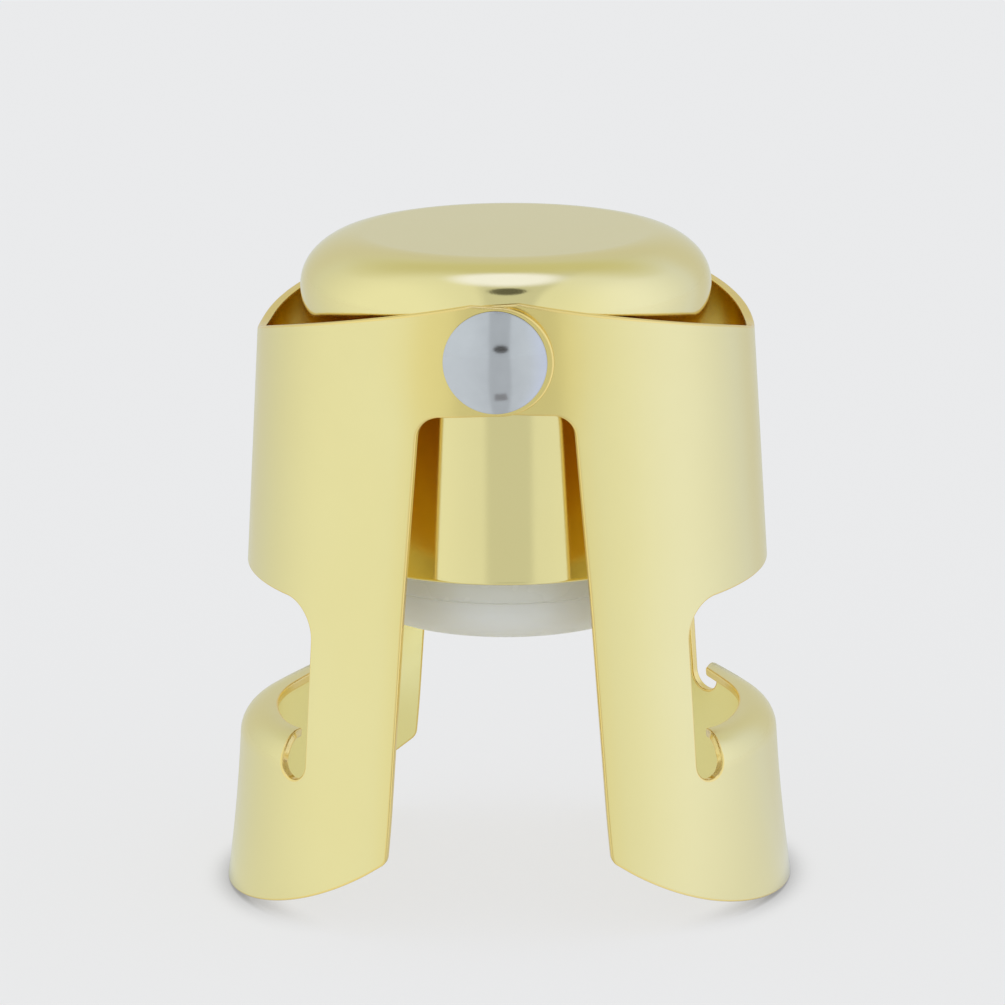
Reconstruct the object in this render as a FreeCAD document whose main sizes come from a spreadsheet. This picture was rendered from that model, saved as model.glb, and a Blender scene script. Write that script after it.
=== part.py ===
import FreeCAD, Part
import math
import os
import Sketcher

# Lever stopper for a sparkling wine bottle, in millimetres.
# It stands on its two spread arms: the floor is z = 0 and the cast body's axis is the Z axis.
# Each arm is one U-shaped pressing that turns on two rivets, front (-Y) and back (+Y).

Vector = FreeCAD.Vector

SIZES = {
    # stance
    "pivot_height": 52.2,
    "arm_tilt": 3.54,
    # head and cylinder, one casting, measured from the pivot axis
    "head_overhang": 1.15,
    "head_widest": 3.4,
    "shoulder_radius": 6.28,
    "side_radius": 4.17,
    "underside_radius": 6.96,
    "body_radius": 17.3,
    "body_depth": 20.2,
    "body_wall": 2.1,
    "body_rim_round": 0.4,
    "ceiling_height": 4.5,
    "lip_width": 0.6,
    "lip_height": 1.2,
    "spigot_gap": 1.0,
    "spigot_height": 1.6,
    "boss_radius": 4.4,
    # sheet arms
    "sheet": 0.85,
    "head_gap": 0.1,
    "ear_gap": 0.05,
    "ear_radius": 4.75,
    "ear_rise": 0.4,
    "bridge_depth": 4.8,
    "ear_flat_margin": 0.3,
    "pivot_inset": 2.37,
    "rim_dip": 2.08,
    "leg_inset": 6.35,
    "leg_spread": 0.7,
    "portal_round": 2.0,
    "foot_corner": 45.55,
    "foot_corner_round": 1.2,
    "foot_end": 54.3,
    "foot_arc_radius": 41.0,
    "flare_start": 40.0,
    "flare_radius": 155.0,
    "window_top": 23.4,
    "window_half_angle": 50.2,
    "window_round": 3.4,
    # claw folded in below the side window
    "claw_top": 36.95,
    "claw_bend": 2.65,
    "claw_depth": 3.35,
    "horn_angle": 34.3,
    "slot_round": 1.65,
    "slot_depth": 39.95,
    # pivot rivets
    "rivet_head_radius": 4.62,
    "rivet_head": 1.1,
    "rivet_bevel": 0.25,
    "rivet_head_gap": 0.05,
    "shank_radius": 2.0,
    "shank_play": 0.05,
    "tail_radius": 2.8,
    "tail_length": 0.9,
    # plunger, seal and spring
    "plunger_play": 0.25,
    "seam_depth": 22.6,
    "plunger_floor": 1.6,
    "plunger_wall": 1.3,
    "snap_rim": 1.4,
    "slit_width": 1.2,
    "knob_radius": 5.5,
    "knob_neck_radius": 4.0,
    "knob_neck": 1.0,
    "knob_length": 2.2,
    "seal_height": 3.8,
    "seal_round": 3.0,
    "seal_play": 0.03,
    "coil_gap": 3.05,
    "wire_radius": 0.6,
    "coil_turns": 6.5,
    "coil_seat": 0.05,
}

SHEET = "Sizes"
FINE = 0.001


class Dim:
    """A length or angle that carries its number and the sheet expression that gives it."""

    def __init__(self, value, text):
        self.value = value
        self.text = text

    @staticmethod
    def of(other):
        return other if isinstance(other, Dim) else Dim(float(other), "(%r)" % float(other))

    def join(self, other, sign, value):
        return Dim(value, "(%s %s %s)" % (self.text, sign, Dim.of(other).text))

    def __add__(self, other):
        return self.join(other, "+", self.value + Dim.of(other).value)

    def __sub__(self, other):
        return self.join(other, "-", self.value - Dim.of(other).value)

    def __mul__(self, other):
        return self.join(other, "*", self.value * Dim.of(other).value)

    def __truediv__(self, other):
        return self.join(other, "/", self.value / Dim.of(other).value)

    def __neg__(self):
        return Dim(0.0, "0") - self


def cosine(angle):
    return Dim(math.cos(math.radians(angle.value)), "cos(%s)" % angle.text)


def sine(angle):
    return Dim(math.sin(math.radians(angle.value)), "sin(%s)" % angle.text)


def root(square):
    return Dim(math.sqrt(square.value), "sqrt(%s)" % square.text)


ZERO = Dim(0.0, "0")
S = {name: Dim(value, "%s.%s" % (SHEET, name)) for name, value in SIZES.items()}


def make_sheet(doc):
    """Fill the spreadsheet with the driving dimensions, one alias a row."""
    sheet = doc.addObject("Spreadsheet::Sheet", SHEET)
    for row, (name, value) in enumerate(SIZES.items(), start=1):
        sheet.set("A%d" % row, name)
        sheet.set("B%d" % row, str(value))
        sheet.setAlias("B%d" % row, name)
    doc.recompute()
    return sheet


# Sketch and feature helpers

def new_body(doc, name):
    body = doc.addObject("PartDesign::Body", name)
    body.Label = name
    return body


def origin_part(body, role):
    return next(item for item in body.Origin.OriginFeatures if item.Role == role)


def new_sketch(body, name, role, lift=None, turn=None):
    """A sketch on one of the body's own origin planes, lifted along or turned about its local axes."""
    sketch = body.newObject("Sketcher::SketchObject", name)
    sketch.AttachmentSupport = [(origin_part(body, role), "")]
    sketch.MapMode = "FlatFace"
    if lift is not None:
        sketch.setExpression("AttachmentOffset.Base.z", lift.text)
    if turn is not None:
        sketch.AttachmentOffset = FreeCAD.Placement(Vector(), FreeCAD.Rotation(Vector(0, 1, 0), turn.value))
        sketch.setExpression("AttachmentOffset.Rotation.Angle", turn.text)
    return sketch


def bind(sketch, kind, size, *places):
    """Add one dimension to a sketch and bind it to its expression."""
    index = sketch.addConstraint(Sketcher.Constraint(kind, *places, size.value))
    sketch.renameConstraint(index, "size%d" % index)
    sketch.setExpression("Constraints.size%d" % index, size.text)


def pin_point(sketch, geometry, end, point):
    """Fix one point of a sketch by its two coordinates."""
    for kind, axis, size in (("DistanceX", -2, point[0]), ("DistanceY", -1, point[1])):
        if size is ZERO:
            sketch.addConstraint(Sketcher.Constraint("PointOnObject", geometry, end, axis))
        else:
            bind(sketch, kind, size, -1, 1, geometry, end)


def arc_piece(start, stop, radius, turn):
    """The arc of a radius from start to stop; turn is 1 for counter-clockwise and -1 for clockwise."""
    chord = stop - start
    rise = math.sqrt(max(radius * radius - chord.Length * chord.Length / 4, 0.0))
    side = Vector(-chord.y, chord.x, 0).normalize() * (turn * rise)
    centre = start + chord / 2 + side
    first, last = (start, stop) if turn > 0 else (stop, start)
    low = math.atan2(first.y - centre.y, first.x - centre.x)
    high = math.atan2(last.y - centre.y, last.x - centre.x)
    if high < low:
        high += 2 * math.pi
    return Part.ArcOfCircle(Part.Circle(centre, Vector(0, 0, 1), radius), low, high)


def draw(sketch, start, *steps, closed=True):
    """Draw an outline from start; a step is (x, y) for a line or (x, y, radius, turn) for an arc."""
    ends = []
    here = start
    for step in steps:
        a = Vector(here[0].value, here[1].value, 0)
        b = Vector(step[0].value, step[1].value, 0)
        if len(step) == 2:
            index = sketch.addGeometry(Part.LineSegment(a, b), False)
            ends.append((index, 1, 2, here))
        else:
            index = sketch.addGeometry(arc_piece(a, b, step[2].value, step[3]), False)
            ends.append((index, 1, 2, here) if step[3] > 0 else (index, 2, 1, here))
            bind(sketch, "Radius", step[2], index)
        here = step[:2]
    for number, (index, first, last, point) in enumerate(ends):
        pin_point(sketch, index, first, point)
        if closed or number + 1 < len(ends):
            follower = ends[(number + 1) % len(ends)]
            sketch.addConstraint(Sketcher.Constraint("Coincident", index, last, follower[0], follower[1]))
    if not closed:
        pin_point(sketch, ends[-1][0], ends[-1][2], here)


def rectangle(sketch, x_low, y_low, x_high, y_high):
    draw(sketch, (x_low, y_low), (x_high, y_low), (x_high, y_high), (x_low, y_high), (x_low, y_low))


def draw_circle(sketch, centre, radius):
    at = Vector(centre[0].value, centre[1].value, 0)
    index = sketch.addGeometry(Part.Circle(at, Vector(0, 0, 1), radius.value), False)
    pin_point(sketch, index, 3, centre)
    bind(sketch, "Radius", radius, index)


def spun(body, kind, name, sketch, angle=None):
    """A Revolution or Groove about the sketch's upright axis, all round or centred on the sketch."""
    feature = body.newObject("PartDesign::" + kind, name)
    feature.Profile = sketch
    feature.ReferenceAxis = (sketch, ["V_Axis"])
    if angle is None:
        feature.Angle = 360.0
    else:
        feature.Midplane = True
        feature.setExpression("Angle", angle.text)
    return feature


def through_cut(body, name, sketch):
    """A Pocket through everything, to both sides of its sketch."""
    pocket = body.newObject("PartDesign::Pocket", name)
    pocket.Profile = sketch
    pocket.SideType = "Symmetric"
    pocket.Type = "ThroughAll"
    return pocket


def edges_at(shape, points):
    """Names of the edges that have a point of the list at their middle."""
    names = []
    for number, edge in enumerate(shape.Edges, start=1):
        middle = edge.valueAt((edge.FirstParameter + edge.LastParameter) / 2)
        if any(middle.distanceToPoint(point) < 10 * FINE for point in points):
            names.append("Edge%d" % number)
    return names


def round_edges(body, name, base, points, radius):
    """A Fillet on the base's edges whose middles are the points."""
    names = edges_at(base.Shape, points)
    if len(names) != len(points):
        raise RuntimeError("%s found %d edges for %d points" % (name, len(names), len(points)))
    fillet = body.newObject("PartDesign::Fillet", name)
    fillet.Base = (base, names)
    fillet.setExpression("Radius", radius.text)
    return fillet


def set_place(body, base, turn, tilt=ZERO):
    """Stand a body at a point, tilted about Y and then turned about Z."""
    corner = "; ".join(part.text for part in base)
    body.setExpression("Placement", "placement(vector(%s); rotation(%s; %s; 0))" % (corner, turn, tilt.text))


# Sizes that several pieces share

HEAD_RADIUS = S["body_radius"] + S["head_overhang"]
BORE_RADIUS = S["body_radius"] - S["body_wall"]
LIP_RADIUS = BORE_RADIUS - S["lip_width"]
INNER_EAR = HEAD_RADIUS + S["head_gap"]
BOSS_REACH = INNER_EAR - S["ear_gap"]
OUTER_EAR = INNER_EAR + S["sheet"] + S["ear_gap"]
RIVET_SEAT = OUTER_EAR + S["sheet"] + S["rivet_head_gap"]
U_INNER = (INNER_EAR + OUTER_EAR) / 2
U_OUTER = U_INNER + S["sheet"]
U_SHIFT = (OUTER_EAR - INNER_EAR) / 2
PIVOT_X = -S["pivot_inset"]
RIM_TOP = S["ear_rise"] + S["ear_radius"]
PIVOT_Z = S["pivot_height"] + S["ear_rise"]
CLAW_EDGE = U_OUTER - S["claw_depth"]
SLOT_ANGLE = Dim(math.degrees(SIZES["slot_round"] / U_OUTER.value),
                 "(%s / %s * 180 / pi)" % (S["slot_round"].text, U_OUTER.text))
CLAW_ANGLE = S["window_half_angle"] - SLOT_ANGLE * 2
TAIL_REACH = BORE_RADIUS - S["tail_radius"] * S["tail_radius"] / (BORE_RADIUS * 2) - S["ear_gap"]
PLUNGER_RADIUS = LIP_RADIUS - S["plunger_play"]
PLUNGER_BORE = PLUNGER_RADIUS - S["plunger_wall"]
COIL_RADIUS = PLUNGER_BORE - S["coil_gap"] - S["wire_radius"]
HALF_ROOT = Dim(math.sqrt(0.5), "sqrt(0.5)")


# The cast body

def make_body(doc):
    """Head and cylinder: a turned outline, two pivot bosses, the bore with its lip, the rivet holes."""
    body = new_body(doc, "body")
    far = S["shoulder_radius"] * HALF_ROOT + S["side_radius"] * (Dim.of(1) - HALF_ROOT)
    flat = HEAD_RADIUS - far
    knee = HEAD_RADIUS - S["side_radius"] * (Dim.of(1) - HALF_ROOT)
    knee_z = S["head_widest"] + S["side_radius"] * HALF_ROOT
    top = knee_z + S["shoulder_radius"] * (Dim.of(1) - HALF_ROOT)
    tuck = S["underside_radius"] - S["head_overhang"]
    tuck_z = S["head_widest"] - root(S["underside_radius"] * S["underside_radius"] - tuck * tuck)
    rim = S["body_rim_round"]
    outline = new_sketch(body, "body_outline", "XZ_Plane")
    draw(outline, (ZERO, top), (flat, top),
         (knee, knee_z, S["shoulder_radius"], -1), (HEAD_RADIUS, S["head_widest"], S["side_radius"], -1),
         (S["body_radius"], tuck_z, S["underside_radius"], -1), (S["body_radius"], rim - S["body_depth"]),
         (S["body_radius"] - rim, -S["body_depth"], rim, -1), (ZERO, -S["body_depth"]), (ZERO, top))
    spun(body, "Revolution", "body_turned", outline)
    bosses = new_sketch(body, "boss_outline", "XZ_Plane")
    draw_circle(bosses, (ZERO, S["ear_rise"]), S["boss_radius"])
    pad = body.newObject("PartDesign::Pad", "bosses")
    pad.Profile = bosses
    pad.SideType = "Symmetric"
    pad.setExpression("Length", (BOSS_REACH * 2).text)
    bore = new_sketch(body, "bore_outline", "XZ_Plane")
    lip_top = S["lip_height"] - S["body_depth"]
    spigot = S["ceiling_height"] - S["spigot_height"]
    spigot_radius = COIL_RADIUS - S["wire_radius"] - S["spigot_gap"]
    below = -S["body_depth"] - S["lip_height"]
    draw(bore, (ZERO, below), (LIP_RADIUS, below), (LIP_RADIUS, lip_top), (BORE_RADIUS, lip_top),
         (BORE_RADIUS, S["ceiling_height"]), (spigot_radius, S["ceiling_height"]),
         (spigot_radius, spigot), (ZERO, spigot), (ZERO, below))
    spun(body, "Groove", "bore", bore)
    holes = new_sketch(body, "rivet_hole_outline", "XZ_Plane")
    draw_circle(holes, (ZERO, S["ear_rise"]), S["shank_radius"])
    through_cut(body, "rivet_holes", holes)
    set_place(body, (ZERO, ZERO, S["pivot_height"]), 0)
    return body


# The two sheet arms

def along(radius, angle, sign):
    """The point at a radius and angle from the bend's axis, to the back (1) or the front (-1)."""
    return (radius * cosine(angle), radius * sine(angle) * sign)


def flared(depth):
    """How far the skirt has moved out at a depth below the pivot."""
    drop = depth - S["flare_start"]
    return S["flare_radius"] - root(S["flare_radius"] * S["flare_radius"] - drop * drop)


def arm_section(arm):
    """The U of sheet, swept down a path that is straight to the claw and then flares out."""
    flange_end = PIVOT_X - S["ear_radius"] - S["sheet"]
    section = new_sketch(arm, "bend_section", "XY_Plane", lift=RIM_TOP)
    draw(section, (flange_end, -U_OUTER), (ZERO, -U_OUTER), (U_OUTER, ZERO, U_OUTER, 1),
         (ZERO, U_OUTER, U_OUTER, 1), (flange_end, U_OUTER), (flange_end, U_INNER), (ZERO, U_INNER),
         (U_INNER, ZERO, U_INNER, -1), (ZERO, -U_INNER, U_INNER, -1), (flange_end, -U_INNER),
         (flange_end, -U_OUTER))
    below = S["foot_end"] + S["sheet"]
    path = new_sketch(arm, "fall_line", "XZ_Plane")
    draw(path, (U_OUTER, RIM_TOP), (U_OUTER, -S["flare_start"]),
         (U_OUTER + flared(below), -below, S["flare_radius"], 1), closed=False)
    sheet = arm.newObject("PartDesign::AdditivePipe", "bent_sheet")
    sheet.Profile = section
    sheet.Spine = path
    sheet.Mode = "Fixed"
    return sheet


def arm_side_cut(arm):
    """The side view's outline: round ears, portal, leg edges that spread, and the foot's long arc."""
    ear = S["ear_radius"]
    bridge = S["bridge_depth"]
    leg_top = PIVOT_X + S["leg_inset"]
    leg_foot = leg_top + S["leg_spread"]
    past = U_OUTER + S["sheet"] * 5
    low = -S["foot_end"] - S["sheet"] * 3
    left = PIVOT_X - ear - S["sheet"] * 2
    side = new_sketch(arm, "side_outline", "XZ_Plane")
    draw(side, (PIVOT_X, RIM_TOP), (PIVOT_X - ear, S["ear_rise"], ear, 1), (PIVOT_X, S["ear_rise"] - ear, ear, 1),
         (leg_top - S["portal_round"], -bridge), (leg_top, -bridge - S["portal_round"], S["portal_round"], -1),
         (leg_foot, -S["foot_corner"]),
         (U_OUTER + S["sheet"] * 3, -S["foot_end"], S["foot_arc_radius"], 1),
         (past, -S["foot_end"]), (past, low), (left, low), (left, ear * 2), (PIVOT_X, ear * 2), (PIVOT_X, RIM_TOP))
    base = through_cut(arm, "side_cut", side)
    arm.Document.recompute()
    place = (leg_foot - flared(S["foot_corner"])).value
    depth = sum(math.sqrt(radius.value ** 2 - place ** 2) for radius in (U_INNER, U_OUTER)) / 2
    corners = [Vector(leg_foot.value, sign * depth, -SIZES["foot_corner"]) for sign in (-1, 1)]
    round_edges(arm, "foot_corners", base, corners, S["foot_corner_round"])


def arm_foot_flat(arm):
    """The foot's lowest edge is level when the arm stands at its tilt."""
    def floor_line(x):
        reach = x - PIVOT_X
        return (Dim(0.0, "0") - S["pivot_height"] - reach * sine(S["arm_tilt"])) / cosine(S["arm_tilt"])
    near = U_OUTER / 2
    past = U_OUTER + S["sheet"] * 5
    low = -S["foot_end"] - S["sheet"] * 3
    level = new_sketch(arm, "floor_outline", "XZ_Plane")
    draw(level, (near, floor_line(near)), (near, low), (past, low), (past, floor_line(past)),
         (near, floor_line(near)))
    return through_cut(arm, "foot_flat", level)


def arm_rim(arm):
    """The top rim runs down round the bend as a helix, from the ears to its lowest point on the web."""
    dip = S["rim_dip"] + RIM_TOP
    for name, left_handed in (("back", False), ("front", True)):
        wedge = new_sketch(arm, "rim_outline_" + name, "XZ_Plane")
        rectangle(wedge, U_INNER - S["sheet"], -S["rim_dip"], U_OUTER + S["sheet"], dip + S["sheet"])
        rim = arm.newObject("PartDesign::SubtractiveHelix", "rim_" + name)
        rim.Profile = wedge
        rim.ReferenceAxis = (wedge, ["V_Axis"])
        rim.Mode = "height-turns-angle"
        rim.setExpression("Height", dip.text)
        rim.Turns = 0.25
        rim.LeftHanded = left_handed
    return rim


def arm_window(arm):
    """The side window, a sector cut with rounded upper corners."""
    inside = U_INNER - S["sheet"]
    outside = U_OUTER + S["sheet"]
    window = new_sketch(arm, "window_outline", "XZ_Plane")
    rectangle(window, inside, S["slot_round"] - S["slot_depth"], outside, -S["window_top"])
    base = spun(arm, "Groove", "window", window, S["window_half_angle"] * 2)
    arm.Document.recompute()
    middle = (U_INNER.value + U_OUTER.value) / 2
    turns = [math.radians(SIZES["window_half_angle"] * sign) for sign in (-1, 1)]
    corners = [Vector(middle * math.cos(turn), middle * math.sin(turn), -SIZES["window_top"]) for turn in turns]
    round_edges(arm, "window_corners", base, corners, S["window_round"])
    seat = new_sketch(arm, "bend_seat_outline", "XZ_Plane")
    rectangle(seat, inside, -S["claw_top"] - S["claw_bend"], outside, -S["claw_top"])
    return spun(arm, "Groove", "bend_seat", seat, (CLAW_ANGLE + SLOT_ANGLE) * 2)


def arm_claw(arm):
    """The claw: a lip folded in from the window's lower edge, its inner edge round, with two horns."""
    bend = S["claw_bend"]
    inner_bend = bend - S["sheet"]
    knee = U_OUTER - bend
    lip_end = CLAW_EDGE
    root_line = -S["claw_top"] - bend
    fold = new_sketch(arm, "fold_outline", "XZ_Plane")
    draw(fold, (U_OUTER, root_line), (knee, -S["claw_top"], bend, 1), (lip_end, -S["claw_top"]),
         (lip_end, -S["claw_top"] - S["sheet"]), (knee, -S["claw_top"] - S["sheet"]),
         (U_INNER, root_line, inner_bend, -1), (U_OUTER, root_line))
    spun(arm, "Revolution", "claw_fold", fold, (CLAW_ANGLE + SLOT_ANGLE / 2) * 2)
    for name, sign in (("back", 1), ("front", -1)):
        slot = new_sketch(arm, "slot_outline_" + name, "YZ_Plane",
                          turn=(S["window_half_angle"] - SLOT_ANGLE) * sign)
        half = S["slot_round"]
        above = S["claw_bend"] - S["claw_top"]
        draw(slot, (-half, above), (-half, half - S["slot_depth"]), (ZERO, -S["slot_depth"], half, 1),
             (half, half - S["slot_depth"], half, 1), (half, above), (-half, above))
        cut = arm.newObject("PartDesign::Pocket", "slot_" + name)
        cut.Profile = slot
        cut.Type = "Length"
        cut.Reversed = True
        cut.setExpression("Length", (U_OUTER + S["sheet"]).text)
    ends = new_sketch(arm, "horn_outline", "XY_Plane", lift=root_line)
    reach = lip_end - S["sheet"] / 2
    for sign in (1, -1):
        draw(ends, along(U_INNER, CLAW_ANGLE, sign), along(reach, S["horn_angle"], sign),
             along(reach, S["window_half_angle"], sign), along(U_INNER, CLAW_ANGLE, sign))
    horns = arm.newObject("PartDesign::Pocket", "horns")
    horns.Profile = ends
    horns.Type = "Length"
    horns.Reversed = True
    horns.setExpression("Length", (bend + S["sheet"]).text)
    return horns


def arm_ear_flats(arm):
    """The ears are coined flat inside round the pivot, where the bend would rub on its neighbour."""
    flat = new_sketch(arm, "ear_flat_outline", "XZ_Plane")
    draw_circle(flat, (PIVOT_X, S["ear_rise"]), S["ear_radius"] + S["ear_flat_margin"])
    cut = arm.newObject("PartDesign::Pocket", "ear_flats")
    cut.Profile = flat
    cut.SideType = "Symmetric"
    cut.Type = "Length"
    cut.setExpression("Length", (U_INNER * 2).text)
    return cut


def make_arm(doc, name, turn):
    """One pressed arm, in a frame on the axis of its bend, then tilted open about the pivot."""
    arm = new_body(doc, name)
    arm_section(arm)
    arm_side_cut(arm)
    arm_rim(arm)
    arm_foot_flat(arm)
    arm_window(arm)
    arm_claw(arm)
    arm_ear_flats(arm)
    hole = new_sketch(arm, "pivot_hole_outline", "XZ_Plane")
    draw_circle(hole, (PIVOT_X, S["ear_rise"]), S["shank_radius"] + S["shank_play"])
    through_cut(arm, "pivot_holes", hole)
    side = 1 if turn == 0 else -1
    rise = S["ear_rise"]
    out = rise * sine(S["arm_tilt"]) - PIVOT_X * cosine(S["arm_tilt"])
    up = PIVOT_Z - PIVOT_X * sine(S["arm_tilt"]) - rise * cosine(S["arm_tilt"])
    set_place(arm, (out * side, U_SHIFT * side, up), turn, -S["arm_tilt"])
    return arm


# Rivets

def make_rivet(doc, name, turn):
    """A pivot rivet: broad bevelled head, shank through the ears and the wall, tail upset in the bore."""
    rivet = new_body(doc, name)
    face = -RIVET_SEAT - S["rivet_head"]
    bevel = S["rivet_bevel"]
    profile = new_sketch(rivet, name + "_outline", "XY_Plane")
    draw(profile, (ZERO, face), (S["rivet_head_radius"] - bevel, face),
         (S["rivet_head_radius"], face + bevel, bevel, 1),
         (S["rivet_head_radius"], -RIVET_SEAT), (S["shank_radius"], -RIVET_SEAT), (S["shank_radius"], -TAIL_REACH),
         (S["tail_radius"], -TAIL_REACH), (S["tail_radius"], S["tail_length"] - TAIL_REACH),
         (ZERO, S["tail_length"] - TAIL_REACH), (ZERO, face))
    spun(rivet, "Revolution", name + "_turned", profile)
    set_place(rivet, (ZERO, ZERO, PIVOT_Z), turn)
    return rivet


# Plunger, seal and spring

RIM_RADIUS = BORE_RADIUS - S["plunger_play"]
RIM_BASE = S["lip_height"] - S["body_depth"] + S["coil_seat"]
PLUNGER_TOP = RIM_BASE + S["snap_rim"]
FLOOR_TOP = S["plunger_floor"] - S["seam_depth"]


def make_plunger(doc):
    """The holder: a cup with a slit snap rim that catches behind the lip, and a knob for the seal."""
    plunger = new_body(doc, "plunger")
    seam = -S["seam_depth"]
    neck_end = seam - S["knob_neck"]
    knob_end = seam - S["knob_length"]
    outline = new_sketch(plunger, "plunger_outline", "XZ_Plane")
    draw(outline, (ZERO, knob_end), (S["knob_radius"], knob_end), (S["knob_radius"], neck_end),
         (S["knob_neck_radius"], neck_end), (S["knob_neck_radius"], seam), (PLUNGER_RADIUS, seam),
         (PLUNGER_RADIUS, RIM_BASE), (RIM_RADIUS, RIM_BASE), (RIM_RADIUS, PLUNGER_TOP), (PLUNGER_BORE, PLUNGER_TOP),
         (PLUNGER_BORE, FLOOR_TOP), (ZERO, FLOOR_TOP), (ZERO, knob_end))
    spun(plunger, "Revolution", "plunger_turned", outline)
    slit_floor = FLOOR_TOP + S["plunger_wall"]
    for name, plane in (("slits_x", "XZ_Plane"), ("slits_y", "YZ_Plane")):
        slit = new_sketch(plunger, name + "_outline", plane)
        half = S["slit_width"] / 2
        rectangle(slit, -half, slit_floor, half, PLUNGER_TOP + S["snap_rim"])
        through_cut(plunger, name, slit)
    set_place(plunger, (ZERO, ZERO, S["pivot_height"]), 0)
    return plunger


def make_seal(doc):
    """The silicone plug, snapped over the plunger's knob, with a well rounded lower edge."""
    seal = new_body(doc, "seal")
    play = S["seal_play"]
    seam = -S["seam_depth"] - play
    bottom = -S["seam_depth"] - S["seal_height"]
    round_ = S["seal_round"]
    neck = S["knob_neck_radius"] + play
    knob = S["knob_radius"] + play
    neck_end = -S["seam_depth"] - S["knob_neck"] + play
    knob_end = -S["seam_depth"] - S["knob_length"] - play
    outline = new_sketch(seal, "seal_outline", "XZ_Plane")
    draw(outline, (ZERO, bottom), (PLUNGER_RADIUS - round_, bottom),
         (PLUNGER_RADIUS, bottom + round_, round_, 1), (PLUNGER_RADIUS, seam), (neck, seam), (neck, neck_end),
         (knob, neck_end), (knob, knob_end), (ZERO, knob_end), (ZERO, bottom))
    spun(seal, "Revolution", "seal_turned", outline)
    set_place(seal, (ZERO, ZERO, S["pivot_height"]), 0)
    return seal


def make_spring(doc):
    """The compression spring between the plunger's floor and the body's ceiling."""
    spring = new_body(doc, "spring")
    low = FLOOR_TOP + S["wire_radius"] + S["coil_seat"]
    high = S["ceiling_height"] - S["wire_radius"] - S["coil_seat"]
    wire = new_sketch(spring, "wire_outline", "XZ_Plane")
    draw_circle(wire, (COIL_RADIUS, low), S["wire_radius"])
    coil = spring.newObject("PartDesign::AdditiveHelix", "coil")
    coil.Profile = wire
    coil.ReferenceAxis = (wire, ["V_Axis"])
    coil.Mode = "height-turns-angle"
    coil.setExpression("Height", (high - low).text)
    coil.setExpression("Turns", S["coil_turns"].text)
    set_place(spring, (ZERO, ZERO, S["pivot_height"]), 0)
    return spring


def check(doc, pieces):
    """Stop before anything is written if an object failed or a piece isn't one valid solid."""
    for item in doc.Objects:
        if "Invalid" in item.State or "Error" in item.State:
            raise RuntimeError("%s failed: %s" % (item.Label, item.State))
        if item.isDerivedFrom("Sketcher::SketchObject") and not item.FullyConstrained:
            raise RuntimeError("%s is not fully constrained" % item.Label)
    for piece in pieces:
        shape = piece.Shape
        if shape.isNull() or not shape.isValid() or len(shape.Solids) != 1:
            raise RuntimeError("%s is not one valid solid" % piece.Label)


def main():
    doc = FreeCAD.newDocument("bottle_stopper")
    make_sheet(doc)
    pieces = [
        make_body(doc),
        make_arm(doc, "left_arm", 180),
        make_arm(doc, "right_arm", 0),
        make_rivet(doc, "front_rivet", 0),
        make_rivet(doc, "back_rivet", 180),
        make_plunger(doc),
        make_seal(doc),
        make_spring(doc),
    ]
    doc.recompute()
    check(doc, pieces)
    os.makedirs("parts", exist_ok=True)
    for piece in pieces:
        piece.Shape.exportStep("parts/%s.step" % piece.Label)
        print("%-12s volume %10.3f mm3" % (piece.Label, piece.Shape.Volume))


main()
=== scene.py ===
"""Looks of a lever stopper for sparkling wine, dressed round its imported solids."""

import logging
import math
from dataclasses import dataclass
from enum import Enum

import bpy
import numpy as np
from mathutils import Matrix, Vector
from mathutils.geometry import delaunay_2d_cdt


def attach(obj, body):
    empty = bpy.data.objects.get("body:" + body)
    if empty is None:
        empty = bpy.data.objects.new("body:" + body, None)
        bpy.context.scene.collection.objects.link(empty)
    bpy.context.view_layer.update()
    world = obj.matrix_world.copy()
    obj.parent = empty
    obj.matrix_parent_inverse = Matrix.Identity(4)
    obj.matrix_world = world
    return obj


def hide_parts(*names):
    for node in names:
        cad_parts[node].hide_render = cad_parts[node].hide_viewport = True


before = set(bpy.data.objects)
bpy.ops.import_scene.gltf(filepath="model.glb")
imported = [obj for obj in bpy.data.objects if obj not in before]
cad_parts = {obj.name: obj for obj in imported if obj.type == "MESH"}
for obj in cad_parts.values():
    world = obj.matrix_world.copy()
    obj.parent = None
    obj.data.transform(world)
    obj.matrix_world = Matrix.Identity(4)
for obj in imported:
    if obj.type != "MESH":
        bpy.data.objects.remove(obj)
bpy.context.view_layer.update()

Finish = bpy.types.Material
Node = bpy.types.Node
Piece = bpy.types.Object
Socket = bpy.types.NodeSocket

LOG = logging.getLogger("stopper")
MM = 0.001
PIVOT_HEIGHT = 52.2
EAR_RISE = 0.4


class Side(Enum):
    """Which arm of the two, as the turn of the one pressing about the body's axis."""

    RIGHT = 1
    LEFT = -1


class End(Enum):
    """Which end of the pivot line a rivet sits at."""

    FRONT = -1
    BACK = 1


# Shader writing

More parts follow.
